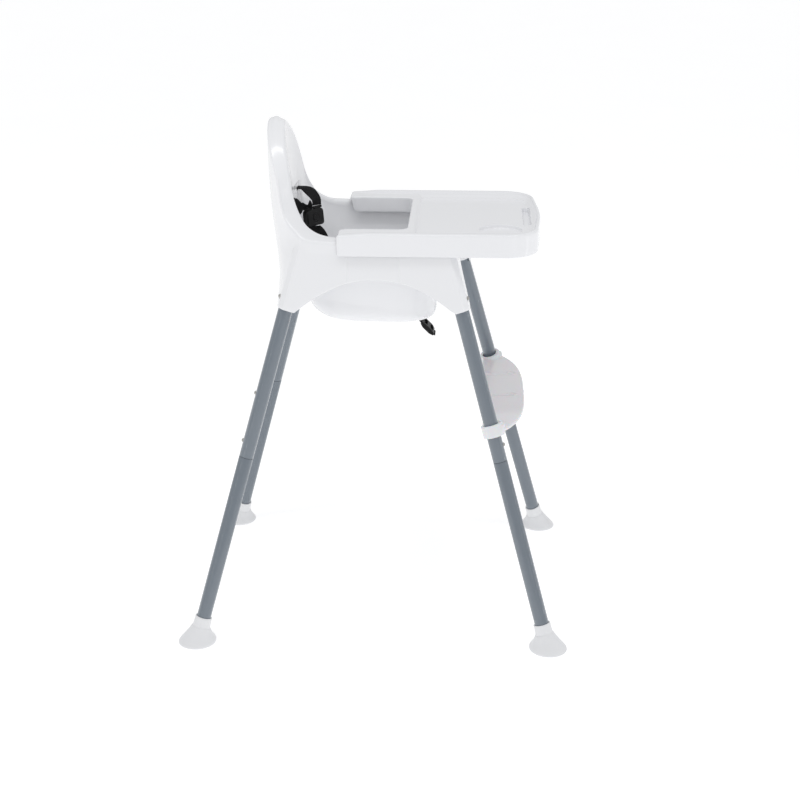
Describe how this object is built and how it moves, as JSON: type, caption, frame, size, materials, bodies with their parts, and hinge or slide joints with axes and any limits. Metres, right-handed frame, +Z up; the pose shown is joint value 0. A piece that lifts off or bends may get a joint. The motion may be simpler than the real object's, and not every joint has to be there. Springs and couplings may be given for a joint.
{
  "type": "baby high chair",
  "caption": "Moulded bucket seat with a lift-off tray, a footrest and a strap harness on splayed two-part tube legs joined by snap buttons.",
  "frame": {"origin": "on the floor under the middle of the four feet", "axes": "+Z up; the seat faces -Y; +X is the seated child's left"},
  "size_m": [0.613, 0.6974, 0.903],
  "materials": {
    "shell": "glossy white",
    "tray": "glossy white",
    "white_trim": "satin off-white",
    "leg_paint": "satin blue-grey powder coat",
    "webbing": "woven black webbing",
    "black_plastic": "satin black",
    "spring_steel": "plain spring steel"
  },
  "bodies": {
    "chair": {"seat_shell": "shell", "upper_leg_front_left": "leg_paint", "lower_leg_front_left": "leg_paint", "foot_front_left": "white_trim", "socket_front_left_spring": "spring_steel", "joint_front_left_spring": "spring_steel", "upper_leg_front_right": "leg_paint", "lower_leg_front_right": "leg_paint", "foot_front_right": "white_trim", "socket_front_right_spring": "spring_steel", "joint_front_right_spring": "spring_steel", "upper_leg_rear_left": "leg_paint", "lower_leg_rear_left": "leg_paint", "foot_rear_left": "white_trim", "socket_rear_left_spring": "spring_steel", "joint_rear_left_spring": "spring_steel", "height_rear_left_spring": "spring_steel", "upper_leg_rear_right": "leg_paint", "lower_leg_rear_right": "leg_paint", "foot_rear_right": "white_trim", "socket_rear_right_spring": "spring_steel", "joint_rear_right_spring": "spring_steel", "height_rear_right_spring": "spring_steel", "waist_strap_left": "webbing", "waist_strap_right": "webbing", "crotch_strap": "webbing", "crotch_anchor": "black_plastic", "strap_anchor_left": "black_plastic", "strap_anchor_right": "black_plastic", "buckle_housing": "black_plastic", "buckle_tongue_left": "black_plastic", "buckle_tongue_right": "black_plastic"},
    "tray": {"tray": "tray"},
    "footrest": {"footrest": "white_trim"},
    "buckle_button": {"buckle_release_button": "black_plastic"},
    "socket_front_left_button": {"socket_front_left_button": "spring_steel"},
    "joint_front_left_button": {"joint_front_left_button": "spring_steel"},
    "socket_front_right_button": {"socket_front_right_button": "spring_steel"},
    "joint_front_right_button": {"joint_front_right_button": "spring_steel"},
    "socket_rear_left_button": {"socket_rear_left_button": "spring_steel"},
    "joint_rear_left_button": {"joint_rear_left_button": "spring_steel"},
    "height_rear_left_button": {"height_rear_left_button": "spring_steel"},
    "socket_rear_right_button": {"socket_rear_right_button": "spring_steel"},
    "joint_rear_right_button": {"joint_rear_right_button": "spring_steel"},
    "height_rear_right_button": {"height_rear_right_button": "spring_steel"}
  },
  "joints": [
    {"name": "tray_lift", "type": "slide", "parent": "chair", "child": "tray", "axis": [0, 0, 1], "range_m": [0, 0.15]},
    {"name": "footrest_slide", "type": "slide", "parent": "chair", "child": "footrest", "axis": [0, 0.2634, 0.9647], "range_m": [0, 0.03]},
    {"name": "buckle_press", "type": "slide", "parent": "chair", "child": "buckle_button", "axis": [0.6396, 0.7593, -0.1197], "range_m": [0, 0.0015], "stiffness_N_per_m": 800, "springref_m": -0.0005},
    {"name": "socket_front_left_press", "type": "hinge", "parent": "chair", "child": "socket_front_left_button", "pos_m": [0.16429, -0.13613, 0.65887], "axis": [0.9867, 0, 0.1628], "range_deg": [0, 6.5], "stiffness_Nm_per_rad": 4, "springref_deg": -1.72},
    {"name": "joint_front_left_press", "type": "hinge", "parent": "chair", "child": "joint_front_left_button", "pos_m": [0.22001, -0.22833, 0.32113], "axis": [-0.9867, 0, -0.1628], "range_deg": [0, 4.5], "stiffness_Nm_per_rad": 4, "springref_deg": -1.72},
    {"name": "socket_front_right_press", "type": "hinge", "parent": "chair", "child": "socket_front_right_button", "pos_m": [-0.16429, -0.13613, 0.65887], "axis": [0.9867, 0, -0.1628], "range_deg": [0, 6.5], "stiffness_Nm_per_rad": 4, "springref_deg": -1.72},
    {"name": "joint_front_right_press", "type": "hinge", "parent": "chair", "child": "joint_front_right_button", "pos_m": [-0.22001, -0.22833, 0.32113], "axis": [-0.9867, 0, 0.1628], "range_deg": [0, 4.5], "stiffness_Nm_per_rad": 4, "springref_deg": -1.72},
    {"name": "socket_rear_left_press", "type": "hinge", "parent": "chair", "child": "socket_rear_left_button", "pos_m": [0.16429, 0.13613, 0.65887], "axis": [-0.9867, 0, -0.1628], "range_deg": [0, 6.5], "stiffness_Nm_per_rad": 4, "springref_deg": -1.72},
    {"name": "joint_rear_left_press", "type": "hinge", "parent": "chair", "child": "joint_rear_left_button", "pos_m": [0.22001, 0.22833, 0.32113], "axis": [0.9867, 0, 0.1628], "range_deg": [0, 4.5], "stiffness_Nm_per_rad": 4, "springref_deg": -1.72},
    {"name": "height_rear_left_press", "type": "hinge", "parent": "chair", "child": "height_rear_left_button", "pos_m": [0.20615, 0.2054, 0.40513], "axis": [0.9867, 0, 0.1628], "range_deg": [0, 4.5], "stiffness_Nm_per_rad": 4, "springref_deg": -1.72},
    {"name": "socket_rear_right_press", "type": "hinge", "parent": "chair", "child": "socket_rear_right_button", "pos_m": [-0.16429, 0.13613, 0.65887], "axis": [-0.9867, 0, 0.1628], "range_deg": [0, 6.5], "stiffness_Nm_per_rad": 4, "springref_deg": -1.72},
    {"name": "joint_rear_right_press", "type": "hinge", "parent": "chair", "child": "joint_rear_right_button", "pos_m": [-0.22001, 0.22833, 0.32113], "axis": [0.9867, 0, -0.1628], "range_deg": [0, 4.5], "stiffness_Nm_per_rad": 4, "springref_deg": -1.72},
    {"name": "height_rear_right_press", "type": "hinge", "parent": "chair", "child": "height_rear_right_button", "pos_m": [-0.20615, 0.2054, 0.40513], "axis": [0.9867, 0, -0.1628], "range_deg": [0, 4.5], "stiffness_Nm_per_rad": 4, "springref_deg": -1.72}
  ]
}
